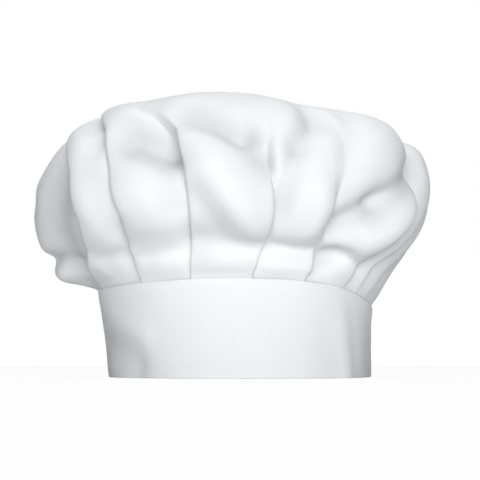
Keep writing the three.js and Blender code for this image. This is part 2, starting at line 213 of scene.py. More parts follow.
# A pleat's seven columns: folded (shares of the tuck past the edge, millimetres past it, layers), as a
# wall (millimetres, layers) and as a soft step (shares of its width, layers)
FOLDED = ((0, 0, 2), (0, 0, 1), (-0.5, 0, 1), (-1, 0, 1), (-1, 0, 0), (-0.5, 0, 0), (0, 1.2, 0))
WALL = ((-0.6, 2), (-0.2, 1.4), (0, 1.05), (0.2, 0.7), (0.6, 0.15), (1.2, 0.07), (1.8, 0))
OPEN = ((-0.5, 2), (-0.25, 1.6), (-0.12, 1.3), (0, 1), (0.25, 0.4), (0.38, 0.2), (0.5, 0))
# Spans of levels over which something sets in or dies away
NECK_RISES, NECK_FALLS = (0, 0.015), (0.05, 0.15)
OVERHANG_RISES, OVERHANG_FALLS = (0.005, 0.018), (0.03, 0.10)
PUFF_RISES, PUFF_FALLS = (0, 0.14), (0.42, 0.68)
LAYERS_PART, FOLDS_GROW = (0, 0.1), (0.15, 0.4)
DENTS_RISE, CREASES_RISE = (0, 0.02), (0, 0.01)
SQUARE_FROM, SINKING_ENDS = (0, 0.03), (0, 0.05)
# The levels of the crown's rows: two at the seam, then spans with their counts
SEAM_ROWS = (0, 0.005)
ROW_SPANS = ((0.0125, 0.10, 8), (0.10, 0.46, 24), (0.46, 0.94, 13))

EVERY = "every"
MM_PER_DEGREE = 2.1
MM_PER_LEVEL = 270.0
CROWN_DENTS = (
    Stroke("left_hollow", "front_left_2", (-29, 0.365), (-19, 0.345), 13, -17),
    Stroke("left_hollow_lip", "front_left_2", (-34, 0.46), (-22, 0.44), 10, 5),
    Stroke("left_tuck", "front_left_2", (-19, 0.40), (-17, 0.22), 9, -5),
    Stroke("left_hook", "left_1", (-56, 0.45), (-43, 0.38), 7, -4),
    Stroke("far_left_tuck", "left_1", (-42, 0.36), (-38, 0.16), 9, -3),
    Stroke("middle_hook", "front_left_2", (-25, 0.43), (-16, 0.38), 7, -4),
    Stroke("front_hollow_1", "front_left_1", (-12, 0.43), (2, 0.385), 12, -12),
    Stroke("front_hollow_2", "front_left_1", (2, 0.39), (9, 0.32), 10, -9),
    Stroke("front_hollow_3", "front_left_1", (9, 0.32), (11, 0.27), 7, -3),
    Stroke("slant_ridge", "front_left_1", (-7, 0.30), (9, 0.16), 11, 5),
    Stroke("under_slant", "front_left_1", (-11, 0.24), (-4, 0.18), 9, -4),
    Stroke("left_waist", "front_left_2", (-33, 0.14), (-17, 0.13), 15, -2),
    Stroke("far_left_waist", "left_1", (-54, 0.10), (-46, 0.09), 12, -2),
    Stroke("front_waist", "front_left_1", (-10, 0.14), (6, 0.12), 12, -4.5),
    Stroke("right_waist", "front_right_1", (17, 0.085), (32, 0.09), 9, -6),
    Stroke("left_swell", "front_left_2", (-37, 0.03), (-20, 0.025), 11, 2),
    Stroke("front_swell", "front_left_1", (-8, 0.035), (6, 0.04), 12, 1.5),
    Stroke("right_swell", "front_right_1", (16, 0.02), (32, 0.02), 9, 2.5),
    Stroke("vee_valley_1", "front_right_1", (33, 0.49), (21, 0.36), 9, -8),
    Stroke("vee_valley_2", "front_right_1", (18.5, 0.33), (14, 0.20), 8, -6.5),
    Stroke("right_ridge", EVERY, (28, 0.38), (27, 0.17), 9, 2.5),
    Stroke("right_furrow", EVERY, (42, 0.45), (36, 0.33), 6, -3),
    Stroke("slant_valley_1", EVERY, (35, 0.17), (46, 0.23), 9, -9),
    Stroke("slant_valley_2", EVERY, (46, 0.23), (67, 0.35), 8, -10),
    Stroke("over_slant", EVERY, (39, 0.24), (60, 0.34), 16, -5),
    Stroke("side_swell", "front_right_2", (49, 0.16), (60, 0.23), 13, 5),
    Stroke("side_patch", "front_right_2", (36, 0.055), (43, 0.09), 8.5, -9),
    Stroke("side_swell_low", "front_right_2", (47, 0.03), (54, 0.025), 7, 2),
    Stroke("top_right_swell", EVERY, (38, 0.34), (54, 0.38), 14, 2),
    Stroke("left_flat", "left_2", (-54, 0.34), (-72, 0.12), 18, -12),
    Stroke("left_notch_1", EVERY, (-104, 0.155), (-82, 0.13), 4.5, -8),
    Stroke("left_notch_2", EVERY, (-82, 0.13), (-72, 0.08), 4.5, -6),
    Stroke("left_lobe", EVERY, (-100, 0.115), (-84, 0.09), 6, 2.5),
    Stroke("left_nick", EVERY, (-96, 0.28), (-80, 0.27), 5, -4),
    Stroke("right_nick", EVERY, (84, 0.47), (62, 0.40), 6, -5),
)

BAND_MM_PER_DEGREE = 1.6
BAND_MM_PER_SHARE = 62.0
BAND_DENTS = (
    Stroke("right_corner", EVERY, (53, 0), (48, 1), 8, 2.5),
    Stroke("right_flat", EVERY, (76, 0), (76, 1), 16, -2.5),
    Stroke("left_crease", EVERY, (-79, 0.92), (-41, 0.45), 8, 2.2),
    Stroke("left_slack", EVERY, (-76, 0.42), (-48, 0.15), 13, -4),
)

# Fine creases: start, lean, length, half, depth
LOW_CREASES = CreaseKind((0.0, 0.06), 3.0, (0.03, 0.08), (2.2, 4.0), (0.25, 0.7))
HIGH_CREASES = CreaseKind((0.06, 0.62), 9.0, (0.02, 0.10), (3.5, 8.0), (0.3, 0.9))
LOW_CREASE_SHARE = 0.55
BAND_CREASES = CreaseKind((0.0, 0.9), 0.22, (4, 18), (3.0, 7.0), (0.15, 0.45))


def ease(low: float, high: float, x: Any) -> Any:
    """Returns a smooth rise from 0 at low to 1 at high."""
    t = np.clip((x - low) / (high - low), 0.0, 1.0)
    return t * t * (3 - 2 * t)


def mix(a: Any, b: Any, t: Any) -> Any:
    """Returns the value that lies t of the way from a to b."""
    return a + (b - a) * t


def around(values: Sequence[float], bearing: Array) -> Array:
    """Follows a smooth closed curve through eight values.

    Args:
        values: One value at each of the eight sides.
        bearing: Where to read it, in degrees.

    Returns:
        The curve's value at each bearing.
    """
    table = np.asarray(values, float)
    place = (np.asarray(bearing, float) / 45.0) % 8
    i = np.floor(place).astype(int)
    t = place - i
    a, b, c, d = (table[(i + step) % 8] for step in (-1, 0, 1, 2))
    return b + 0.5 * t * (c - a + t * (2 * a - 5 * b + 4 * c - d + t * (3 * (b - c) + d - a)))


def along(steps: Sequence[float], rows: Array, x: Array) -> Array:
    """Follows smooth curves through values at uneven steps.

    Args:
        steps: Where the values stand.
        rows: The values, a row for each step and a column for each curve.
        x: Where to read each curve.

    Returns:
        One value for each curve.
    """
    xs = np.asarray(steps, float)
    rise = (rows[1:] - rows[:-1]) / (xs[1:] - xs[:-1])[:, None]
    lean = np.zeros_like(rows)
    lean[1:-1] = (rise[1:] + rise[:-1]) / 2
    lean[0] = rise[0]
    i = np.clip(np.searchsorted(xs, x, side="right") - 1, 0, len(xs) - 2)
    h = xs[i + 1] - xs[i]
    t = (x - xs[i]) / h
    j = np.arange(rows.shape[1])
    t2, t3 = t * t, t**3
    value = (2 * t3 - 3 * t2 + 1) * rows[i, j] + (t3 - 2 * t2 + t) * h * lean[i, j]
    return value + (3 * t2 - 2 * t3) * rows[i + 1, j] + (t3 - t2) * h * lean[i + 1, j]


def outward(bearing: Array) -> Array:
    """Returns level unit vectors away from the middle line."""
    turn = np.radians(bearing)
    return np.stack([np.sin(turn), -np.cos(turn), np.zeros_like(turn)], -1)


def strokes(marks: Sequence[Stroke], bearing: Array, share: Array, scale: Pair,
            panels: Array | None = None) -> Array:
    """Adds up what a list of strokes moves each place.

    Args:
        marks: The strokes.
        bearing: The places' bearings.
        share: Their levels, or shares of a height.
        scale: Millimetres for a degree and for a whole share.
        panels: The panel that each place belongs to, or None where every stroke counts everywhere.

    Returns:
        A height over the plain surface for each place, in millimetres.
    """
    bearing, share = np.broadcast_arrays(np.asarray(bearing, float), np.asarray(share, float))
    total = np.zeros(bearing.shape)
    for mark in marks:
        du = ((bearing - mark.start[0] + 180) % 360 - 180) * scale[0]
        dv = (share - mark.start[1]) * scale[1]
        eu = (mark.stop[0] - mark.start[0]) * scale[0]
        ev = (mark.stop[1] - mark.start[1]) * scale[1]
        t = np.clip((du * eu + dv * ev) / (eu * eu + ev * ev), 0, 1)
        away = np.hypot(du - t * eu, dv - t * ev) / mark.half
        move = mark.depth * np.exp(-away * away)
        if panels is not None and mark.panel != EVERY:
            move = np.where(panels == mark.panel, move, 0.0)
        total = total + move
    return total


@dataclass
class HatForm:
    """The hat without pleats or dents, measured from the crown's heart.

    The nudges are the degrees and levels on either side of a place that show the way it faces, up to
    the highest level.
    """

    sides: Sequence[Side] = SIDES
    nudge_round: float = 0.5
    nudge_up: float = 0.004
    highest: float = 0.99

    def plan(self, key: str, bearing: Array) -> Array:
        """Returns a named measure of the plan at each bearing."""
        return around([getattr(side, key) for side in self.sides], bearing)

    def base(self, bearing: Array, level: Array) -> Array:
        """Finds points of the plain crown.

        Args:
            bearing: Degrees round from the front.
            level: 0 at the seam to 1 at the top.

        Returns:
            Points in millimetres.
        """
        bearing, level = np.broadcast_arrays(np.asarray(bearing, float), np.asarray(level, float))
        shape = bearing.shape
        turn, rise = bearing.ravel(), level.ravel()
        radius = self.plan("seam", turn)
        drop = self.plan("height", turn) - HEART
        low = np.arctan2(drop, radius)
        tilt = mix(low, np.pi / 2, rise)
        rows = [np.hypot(radius, drop)]
        rows += [around(ring, turn) for ring in zip(*(side.reach for side in self.sides))]
        rows.append(np.full_like(turn, TOP_REACH))
        reach = along(LEVELS, np.stack(rows), rise)
        neck = NECK_RISE * ease(*NECK_RISES, rise) * (1 - ease(*NECK_FALLS, rise))
        points = outward(turn) * (reach * np.cos(tilt))[:, None]
        points[:, 2] = HEART + reach * np.sin(tilt) + neck
        return points.reshape(*shape, 3)

    def normal(self, bearing: Array, level: Array) -> Array:
        """Finds directions square to the plain crown, but level at the seam.

        Args:
            bearing: Degrees round from the front.
            level: 0 at the seam to 1 at the top.

        Returns:
            Unit vectors.
        """
        at = np.clip(level, self.nudge_up, self.highest)
        across = self.base(bearing + self.nudge_round, at) - self.base(bearing - self.nudge_round, at)
        up = self.base(bearing, at + self.nudge_up) - self.base(bearing, at - self.nudge_up)
        square = np.cross(across, up)
        square /= np.linalg.norm(square, axis=-1, keepdims=True)
        settle = ease(*SQUARE_FROM, np.broadcast_to(level, np.shape(bearing)))[..., None]
        leaning = mix(outward(np.asarray(bearing, float)), square, settle)
        return leaning / np.linalg.norm(leaning, axis=-1, keepdims=True)

    def per_degree(self, bearing: Array, level: float) -> Array:
        """Returns the plain crown's millimetres for each degree."""
        points = self.base(bearing, level)
        return np.hypot(points[..., 0], points[..., 1]) * np.pi / 180


def new_mesh(name: str, points: Array, faces: list[tuple[int, ...]]) -> bpy.types.Object:
    """Makes an object in the scene, with its place in its mesh.

    Args:
        name: The piece's name.
        points: Corner points, in millimetres from the crown's middle line.
        faces: Corner numbers of each face, running so that the face looks outwards.

    Returns:
        The new object.
    """
    mesh = bpy.data.meshes.new(name)
    placed = (np.asarray(points, float) + (*CENTRE, 0.0)) * MM
    mesh.from_pydata(placed.tolist(), [], faces)
    mesh.update()
    piece = bpy.data.objects.new(name, mesh)
    bpy.context.scene.collection.objects.link(piece)
    return piece


def ring_faces(rows: int, count: int) -> list[tuple[int, ...]]:
    """Joins closed rows of corners, each row to the next.

    Args:
        rows: How many rows there are.
        count: Corners in each.

    Returns:
        The faces' corner numbers.
    """
    faces = []
    for i in range(rows - 1):
        for j in range(count):
            k = (j + 1) % count
            faces.append((i * count + j, i * count + k, (i + 1) * count + k, (i + 1) * count + j))
    return faces


def lay_uv(piece: bpy.types.Object, flat: Array) -> None:
    """Gives a sheet its UV map, in metres.

    Args:
        piece: The sheet, whose corners are numbered round closed rows, one row after another.
        flat: Where each row's corners lie on the flat cloth, in millimetres. Each row ends with its first
            corner again, at the cloth's other end. Corners past the last row stay in the middle.
    """
    rows, count = flat.shape[0], flat.shape[1] - 1
    uv = np.zeros((len(piece.data.loops), 2))
    for polygon in piece.data.polygons:
        corners = [piece.data.loops[i].vertex_index for i in polygon.loop_indices]
        wraps = {corner % count for corner in corners} >= {0, count - 1}
        for loop, corner in zip(polygon.loop_indices, corners):
            i, j = divmod(corner, count)
            if i < rows:
                uv[loop] = flat[i, count if wraps and j == 0 else j] * MM
    piece.data.uv_layers.new(name=WEAVE).data.foreach_set("uv", uv.ravel())


def settle_modifiers(piece: bpy.types.Object) -> None:
    """Turns a piece's modifiers into its plain mesh and smooths its shading.

    Args:
        piece: The piece.
    """
    graph = bpy.context.evaluated_depsgraph_get()
    mesh = bpy.data.meshes.new_from_object(piece.evaluated_get(graph))
    piece.modifiers.clear()
    piece.data = mesh
    mesh.shade_smooth()


def thicken(piece: bpy.types.Object, cloth: float) -> None:
    """Gives a sheet its thickness and rounds its bends.

    Args:
        piece: The sheet.
        cloth: The thickness, in millimetres.
    """
    solid = piece.modifiers.new("cloth", "SOLIDIFY")
    solid.thickness = cloth * MM
    solid.offset = 0.0
    smooth = piece.modifiers.new("bends", "SUBSURF")
    smooth.levels = smooth.render_levels = 1
    settle_modifiers(piece)


@dataclass
class Crown:
    """The puffed crown: a circle of cloth, pleated round its rim.

    The cap is the cloth between the last row and the middle of the top. Each point keeps how far it lies
    in a hollow, and its colour is darkened by that as painted shade, in full at the full shade depth.
    The overhang is how far the cloth hangs out over the seam.
    """

    form: HatForm
    cloth: float = 0.5
    radius: float = 270.0
    cap: float = 25.0
    hidden_rows: tuple[float, ...] = (-4.0, -2.0)
    top_corners: int = 25
    crease_count: int = 150
    # Millimetres down in a hollow at which the painted shade is full
    full_shade_depth: float = 12.0
    overhang: float = 0.8

    def levels(self) -> Array:
        """Returns the levels of the crown's rows, close together where the cloth bends most."""
        spans = [np.linspace(*span)[:-1] for span in ROW_SPANS]
        return np.concatenate([SEAM_ROWS, *spans, [ROW_SPANS[-1][1]]])

    def stations(self, pleat: Pleat, level: float, panel_width: float, slope: float, spacing: float,
                 spread: float) -> list[Pair]:
        """Places one pleat's columns at one level.

        Args:
            pleat: The pleat.
            level: The level.
            panel_width: Width of the panel that lies over the tuck.
            slope: Rise of that panel towards the edge.
            spacing: Distance between the pleat's layers.
            spread: Width of the step that it leaves when open.

        Returns:
            Offsets round the crown and heights over it, in the order the cloth runs.
        """
        standing = ease(pleat.opens - OPENING, pleat.opens, level)
        opened = ease(pleat.opens, pleat.opens + OPENING, level)
        kept = 1 - TUCK_LOSS * min(1.0, level / pleat.opens)
        tuck = min(pleat.tuck * kept, TUCK_FILLS * panel_width - TUCK_CLEAR)
        placed = []
        for (share, past, layer), wall, wide in zip(FOLDED, WALL, OPEN):
            x = mix(mix(share * tuck + past, wall[0], standing), wide[0] * spread, opened)
            lean = slope * tuck * share if past == 0 else 0.0
            height = mix(layer * spacing + lean, wall[1] * spacing, standing)
            placed.append((x, mix(height, wide[1] * spacing, opened)))
        if pleat.faces is Facing.RIGHT:
            return placed
        return [(-x, height) for x, height in reversed(placed)]

    def folds(self, level: float, edges: Array, gaps: Array, scales: Array) -> list[list[Pair]]:
        """Places every pleat's columns at one level.

        Args:
            level: The level.
            edges: The bearings of the pleats' edges. Not used.
            gaps: Degrees from each edge to the next.
            scales: Millimetres for a degree at each edge.

        Returns:
            For each pleat, what stations() returns.
        """
        placed = []
        for k, pleat in enumerate(PLEATS):
            before, after = (k - 1) % len(PLEATS), (k + 1) % len(PLEATS)
            top, far = (before, before) if pleat.faces is Facing.RIGHT else (k, after)
            height = mix(pleat.low, pleat.high, ease(*FOLDS_GROW, level))
            spacing = mix(SEAM_LAYERS, height, ease(*LAYERS_PART, level))
            spacing = spacing * (1 - ease(pleat.opens, pleat.gone, level))
            width = gaps[top] * scales[k]
            slope = 2 * spacing / width if PLEATS[far].faces is pleat.faces else 0.0
            spread = min(OPEN_STEP, OPEN_SHARE * (gaps[k] + gaps[before]) * scales[k])
            placed.append(self.stations(pleat, level, width, slope, spacing, spread))
        return placed

    def path(self, level: float) -> tuple[Array, ...]:
        """Follows the cloth once round.

        Args:
            level: The level.

        Returns:
            For each column its bearing, its height over the plain crown, the panel that it belongs to and
            the panel that lies over it.
        """
        edges = np.array([np.interp(level, STOPS, pleat.edge) for pleat in PLEATS])
        gaps = (np.roll(edges, -1) - edges) % 360
        scales = self.form.per_degree(edges, level)
        placed = self.folds(level, edges, gaps, scales)
        puff = PUFF * ease(*PUFF_RISES, level) * (1 - ease(*PUFF_FALLS, level))
        columns: list[tuple[float, float, str, str]] = []
        for k, pleat in enumerate(PLEATS):
            before, after = (k - 1) % len(PLEATS), (k + 1) % len(PLEATS)
            right = pleat.faces is Facing.RIGHT
            top, under = (before, k) if right else (k, before)
            lowest = len(placed[k]) - 1 if right else 0
            for station, (x, height) in enumerate(placed[k]):
                panel = PLEATS[under if station == lowest else top].name
                columns.append((edges[k] + x / scales[k], height, panel, PLEATS[top].name))
            start = columns[-1][0]
            stop = edges[k] + gaps[k] + placed[after][0][0] / scales[after]
            rise = puff * min(PUFF_MOST, (stop - start) * scales[k] / PUFF_PANEL)
            for j in range(1, pleat.plain + 1):
                t = j / (pleat.plain + 1)
                height = mix(placed[k][-1][1], placed[after][0][1], t)
                height = height + rise * math.sin(math.pi * t) ** PUFF_ROUND
                columns.append((mix(start, stop, t), height, pleat.name, pleat.name))
        return tuple(np.array(values) for values in zip(*columns))

    def creases(self) -> tuple[Stroke, ...]:
        """Draws fine soft creases, mostly running up from the seam.

        Returns:
            The creases.
        """
        random = np.random.default_rng(SEED)
        marks = []
        for _ in range(self.crease_count):
            kind = LOW_CREASES if random.random() < LOW_CREASE_SHARE else HIGH_CREASES
            bearing = random.uniform(-180, 180)
            level = random.uniform(*kind.start)
            lean = random.normal(0, kind.lean)
            length = random.uniform(*kind.length)
            marks.append(kind.stroke((bearing, level), (bearing + lean, level + length), random))
        return tuple(marks)

    def row(self, level: float, creases: Sequence[Stroke]) -> tuple[Array, Array]:
        """Finds the middle of the cloth at one level.

        Args:
            level: The level.
            creases: Fine creases to add to the named dents.

        Returns:
            A point for each column, in millimetres, and how far it lies in a hollow, 0 to 1, which sets the
            painted shade in its colour.
        """
        bearing, height, own, top = self.path(level)
        scale = (MM_PER_DEGREE, MM_PER_LEVEL)
        dents = [strokes(CROWN_DENTS, bearing, level, scale, panels) for panels in (own, top)]
        dent = ease(*DENTS_RISE, level) * np.minimum(*dents)
        fine = strokes(creases, bearing, level, scale)
        over_seam = self.overhang * ease(*OVERHANG_RISES, level) * (1 - ease(*OVERHANG_FALLS, level))
        height = height - SEAM_LAYERS * (1 - ease(*SINKING_ENDS, level)) + over_seam
        height = height + dent + fine * ease(*CREASES_RISE, level)
        points = self.form.base(bearing, level) + self.form.normal(bearing, level) * height[:, None]
        # How far the point lies in a hollow, which sets the painted shade in its colour
        return points, ease(0, self.full_shade_depth, -dent)

    def build(self) -> bpy.types.Object:
        """Builds the crown's closed cloth.

        Returns:
            The crown.
        """
        creases = self.creases()
        rows, painted_shade_rows = (list(part) for part in zip(*(self.row(level, creases) for level in self.levels())))
        painted_shade_rows = [painted_shade_rows[0]] * len(self.hidden_rows) + painted_shade_rows
        rows = [rows[0] + (0, 0, drop) for drop in self.hidden_rows] + rows
        count = len(rows[0])
        rim, step = (len(rows) - 1) * count, count // self.top_corners
        apex = np.array([0, 0, HEART + TOP_REACH])
        points = np.vstack([*rows, mix(rows[-1][::step], apex, 0.5), apex])
        faces = ring_faces(len(rows), count)
        for j in range(self.top_corners):
            k = (j + 1) % self.top_corners
            edge = [rim + (j * step + i) % count for i in range(step + 1)]
            faces.append((*edge, rim + count + k, rim + count + j))
            faces.append((rim + count + j, rim + count + k, len(points) - 1))
        piece = new_mesh("crown_cloth", points, faces)
        self.lay_weave(piece, rows)
        # Painted shade: how far each point lies in a hollow, kept for the colour to darken; the cap and
        # apex get none
        painted_shade_values = np.zeros(len(points))
        painted_shade_values[:len(rows) * count] = np.concatenate(painted_shade_rows)
        piece.data.attributes.new(PAINTED_SHADE, "FLOAT", "POINT").data.foreach_set("value", painted_shade_values)
        thicken(piece, self.cloth)
        return piece

    def lay_weave(self, piece: bpy.types.Object, rows: Sequence[Array]) -> None:
        """Lays the weave over the circle that the crown was cut from.

        Args:
            piece: The crown before its modifiers.
            rows: Its rows of points.
        """
        middle = rows[len(rows) // 2]
        steps = np.linalg.norm(np.roll(middle, -1, 0) - middle, axis=1)
        turn = np.concatenate([[0], np.cumsum(steps)]) / steps.sum() * 2 * np.pi
        rings = [float(np.linalg.norm(b - a, axis=1).mean()) for a, b in zip(rows, rows[1:])]
        run = np.concatenate([[0], np.cumsum(rings)])
        reach = self.radius - run * self.radius / (sum(rings) + self.cap)
        lay_uv(piece, np.stack([np.outer(reach, np.cos(turn)), np.outer(reach, np.sin(turn))], -1))


@dataclass
class Band:
    """The upright band: a strip folded at the hem, with the crown sewn between its two layers.

    The gap between the layers widens at the seam, round the crown's tucks. The hem's bend fades upwards,
    and near the floor the hem gives, so that a little of it is pressed flat.
    """

    form: HatForm
    cloth: float = 0.6
    gap: float = 1.5
    seam_gap: float = 2.75
    widens: Pair = (0.80, 0.93)
    lip: float = 1.2
    columns: int = 200
    rows: int = 18
    hem_steps: int = 4
    hem_fade: float = 6.0
    crease_count: int = 46
    pressed: float = 0.15
    near_floor: float = 6.0

    def creases(self) -> tuple[Stroke, ...]:
        """Draws fine soft creases over the band.

        Returns:
            The creases.
        """
        random = np.random.default_rng(SEED + 1)
        kind = BAND_CREASES
        marks = []
        for _ in range(self.crease_count):
            bearing = random.uniform(-180, 180)
            share = random.uniform(*kind.start)
            turn = random.uniform(*kind.length)
            lift = random.normal(0, kind.lean)
            marks.append(kind.stroke((bearing, share), (bearing + turn, share + lift), random))
        return tuple(marks)

    def half(self, share: float) -> float:
        """Returns how far a layer lies from the middle: more at the seam, round the crown's tucks."""
        return (mix(self.gap, self.seam_gap, float(ease(*self.widens, share))) + self.cloth) / 2

    def wall(self, bearing: Array, share: float, side: float, creases: Sequence[Stroke]) -> Array:
        """Finds points of the band, a distance to one side of its middle.

        Args:
            bearing: Degrees round from the front.
            share: 0 at the hem to 1 at the seam, and a little past it at the top edge.
            side: Millimetres outwards from the middle of the two layers.
            creases: Fine creases to add to the named dents.

        Returns:
            Points in millimetres.
        """
        inner = min(share, 1.0)
        scale = (BAND_MM_PER_DEGREE, BAND_MM_PER_SHARE)
        dent = strokes(BAND_DENTS, bearing, inner, scale) * (1 - inner * inner)
        dent = dent + strokes(creases, bearing, inner, scale) * (1 - inner**4)
        radius = mix(self.form.plan("hem", bearing), self.form.plan("seam", bearing), inner)
        points = outward(bearing) * (radius + dent + side)[:, None]
        points[:, 2] = share * self.form.plan("height", bearing)
        return points

    def build(self) -> bpy.types.Object:
        """Builds the band's closed cloth, from the inner layer's top edge round the hem to the outer's.

        Returns:
            The band.
        """
        creases = self.creases()
        bearing = np.arange(self.columns) * 360.0 / self.columns
        bend = self.half(0)
        shares = np.linspace(0, 1, self.rows)
        profile = [(share, -self.half(share), 0.0) for share in shares[:0:-1]]
        for turn in np.linspace(-1, 1, self.hem_steps * 2 + 1) * math.pi / 2:
            profile.append((0.0, bend * math.sin(turn), bend * math.cos(turn)))
        profile += [(share, self.half(share), 0.0) for share in shares[1:]]
        rows = []
        for share, side, lift in profile:
            row = self.wall(bearing, share, side, creases)
            raised = mix(bend + self.cloth / 2 - lift, 0.0, min(1.0, share * self.hem_fade))
            row[:, 2] += raised if share < 1 else self.lip
            row[:, 2] = np.maximum(row[:, 2], self.cloth / 2)
            rows.append(row)
        piece = new_mesh("band_cloth", np.vstack(rows), ring_faces(len(rows), self.columns))
        self.lay_weave(piece, rows)
        thicken(piece, self.cloth)
        self.stand(piece.data)
        return piece

    def stand(self, mesh: bpy.types.Mesh) -> None:
        """Stands the hem on the floor, pressed flat where it touches.

        Args:
            mesh: The finished band.
        """
        points = np.empty(len(mesh.vertices) * 3)
        mesh.vertices.foreach_get("co", points)
        rise = points[2::3]
        drop = (rise.min() + self.pressed * MM) * (1 - ease(0, self.near_floor * MM, rise))
        points[2::3] = np.maximum(rise - drop, 0.0)
        mesh.vertices.foreach_set("co", points)
        mesh.update()

    def lay_weave(self, piece: bpy.types.Object, rows: Sequence[Array]) -> None:
        """Lays the weave along the strip and across it.

        Args:
            piece: The band before its modifiers.
            rows: Its rows of points.
        """
        steps = np.linalg.norm(np.roll(rows[0], -1, 0) - rows[0], axis=1)
        climbs = [np.linalg.norm(b - a, axis=1).mean() for a, b in zip(rows, rows[1:])]
        run, rise = (np.concatenate([[0], np.cumsum(part)]) for part in (steps, climbs))
        lay_uv(piece, np.stack(np.meshgrid(run, rise), -1))


@dataclass(frozen=True)
class StitchRow:
    """A row of machine stitches round the outside of the band.

    It runs at a lift above a share of the band's height, and stands a little proud of the cloth. The line
    that the stitches follow has so many corners.
    """

    name: str
    share: float
    lift: float
    length: float = 2.2
    spacing: float = 3.0
    radius: float = 0.16
    proud: float = 0.05
    corners: int = 360

    def line(self, band: Band) -> Array:
        """Finds the closed line that the stitches follow.

        Args:
            band: The band that carries them.

        Returns:
            Its corners, in millimetres.
        """
        bearing = np.arange(self.corners) * 360.0 / self.corners
        share = self.share + self.lift / band.form.plan("height", bearing).mean()
        side = band.half(share) + band.cloth / 2 + self.proud
        return band.wall(bearing, share, side, band.creases())

    def tree(self, material: bpy.types.Material) -> bpy.types.GeometryNodeTree:
        """Builds the node tree that lays stitches along the piece's edges.

        Args:
            material: The thread's material.

        Returns:
            The tree, with its sizes as named inputs.
        """
        tree = bpy.data.node_groups.new(f"{self.name}_tree", "GeometryNodeTree")
        ports = tree.interface
        ports.new_socket("Line", in_out="INPUT", socket_type="NodeSocketGeometry")
        for name in ("Spacing", "Length", "Radius"):
            ports.new_socket(name, in_out="INPUT", socket_type="NodeSocketFloat")
        ports.new_socket("Stitches", in_out="OUTPUT", socket_type="NodeSocketGeometry")
        node = Nodes(tree).node
        given = node("NodeGroupInput").outputs
        line = node("GeometryNodeMeshToCurve", {}, {"Mesh": given["Line"]})
        spaced = node("GeometryNodeResampleCurve", {"mode": "LENGTH"}, {
            "Curve": line.outputs["Curve"], "Length": given["Spacing"]})
        tangent = node("GeometryNodeInputTangent")
        turned = node("FunctionNodeAlignRotationToVector", {"axis": "Z"}, {
            "Vector": tangent.outputs["Tangent"]})
        thread = node("GeometryNodeMeshUVSphere", {}, {"Segments": 6, "Rings": 5, "Radius": 1.0})
        size = node("ShaderNodeCombineXYZ", {}, {
            "X": given["Radius"], "Y": given["Radius"], "Z": given["Length"]})
        laid = node("GeometryNodeInstanceOnPoints", {}, {
            "Points": spaced.outputs["Curve"], "Instance": thread.outputs["Mesh"],
            "Rotation": turned.outputs["Rotation"], "Scale": size.outputs["Vector"]})
        real = node("GeometryNodeRealizeInstances", {}, {"Geometry": laid.outputs["Instances"]})
        smooth = node("GeometryNodeSetShadeSmooth", {}, {"Geometry": real.outputs["Geometry"]})
        dressed = node("GeometryNodeSetMaterial", {}, {
            "Geometry": smooth.outputs["Geometry"], "Material": material})
        node("NodeGroupOutput", {}, {"Stitches": dressed.outputs["Geometry"]})
        return tree

    def build(self, band: Band, material: bpy.types.Material) -> bpy.types.Object:
        """Sews the row.

        Args:
            band: The band that carries it.
            material: The thread's material.

        Returns:
            The stitches as one plain mesh.
        """
        count = self.corners
        piece = new_mesh(self.name, self.line(band), [])
        piece.data.edges.add(count)
        ends = [corner for j in range(count) for corner in (j, (j + 1) % count)]
        piece.data.edges.foreach_set("vertices", ends)
        piece.data.update()
        modifier = piece.modifiers.new("stitches", "NODES")
        modifier.node_group = self.tree(material)
        sizes = {"Spacing": self.spacing, "Length": self.length / 2, "Radius": self.radius}
        for item in modifier.node_group.interface.items_tree:
            if item.name in sizes:
                modifier[item.identifier] = sizes[item.name] * MM
        settle_modifiers(piece)
        return piece


STITCH_ROWS = (StitchRow("seam_stitches", 1.0, -0.6), StitchRow("hem_stitches", 0.0, 6.0))


class Sock:
    """A node's output or a number that can be used in sums."""

    def __init__(self, nodes: Nodes, value: Any) -> None:
        """Keeps the tree that sums are added to, and the output."""
        self.nodes = nodes
        self.value = value

    def _sum(self, kind: str, a: Any, b: Any = 0.0) -> Sock:
        """Adds one Math node and returns its output."""
        return self.nodes.sock("ShaderNodeMath", 0, {"operation": kind}, {0: a, 1: b})

    def __add__(self, other: Any) -> Sock:
        """Returns the sum."""
        return self._sum("ADD", self, other)

    __radd__ = __add__

    def __sub__(self, other: Any) -> Sock:
        """Returns the difference."""
        return self._sum("SUBTRACT", self, other)

    def __rsub__(self, other: Any) -> Sock:
        """Returns the difference from a number."""
        return self._sum("SUBTRACT", other, self)

    def __mul__(self, other: Any) -> Sock:
        """Returns the product."""
        return self._sum("MULTIPLY", self, other)

    __rmul__ = __mul__

    def sine(self) -> Sock:
        """Returns the sine."""
        return self._sum("SINE", self)


class Nodes:
    """A node tree, with one method for every kind of node."""

    def __init__(self, tree: bpy.types.NodeTree) -> None:
        """Keeps the tree and empties it."""
        self.tree = tree
        tree.nodes.clear()

    def node(self, kind: str, settings: Options = None, sockets: Options = None) -> Any:
        """Adds a node.

        Args:
            kind: The node's type.
            settings: Its own settings, set first.
            sockets: Values or links of its inputs.

        Returns:
            The node.
        """
        made = self.tree.nodes.new(kind)
        for key, value in (settings or {}).items():
            setattr(made, key, value)
        for key, value in (sockets or {}).items():
            value = value.value if isinstance(value, Sock) else value
            if isinstance(value, bpy.types.NodeSocket):
                self.tree.links.new(value, made.inputs[key])
            else:
                made.inputs[key].default_value = value
        return made

    def sock(self, kind: str, output: Any, settings: Options = None, sockets: Options = None) -> Sock:
        """Adds a node and returns one of its outputs."""
        return Sock(self, self.node(kind, settings, sockets).outputs[output])


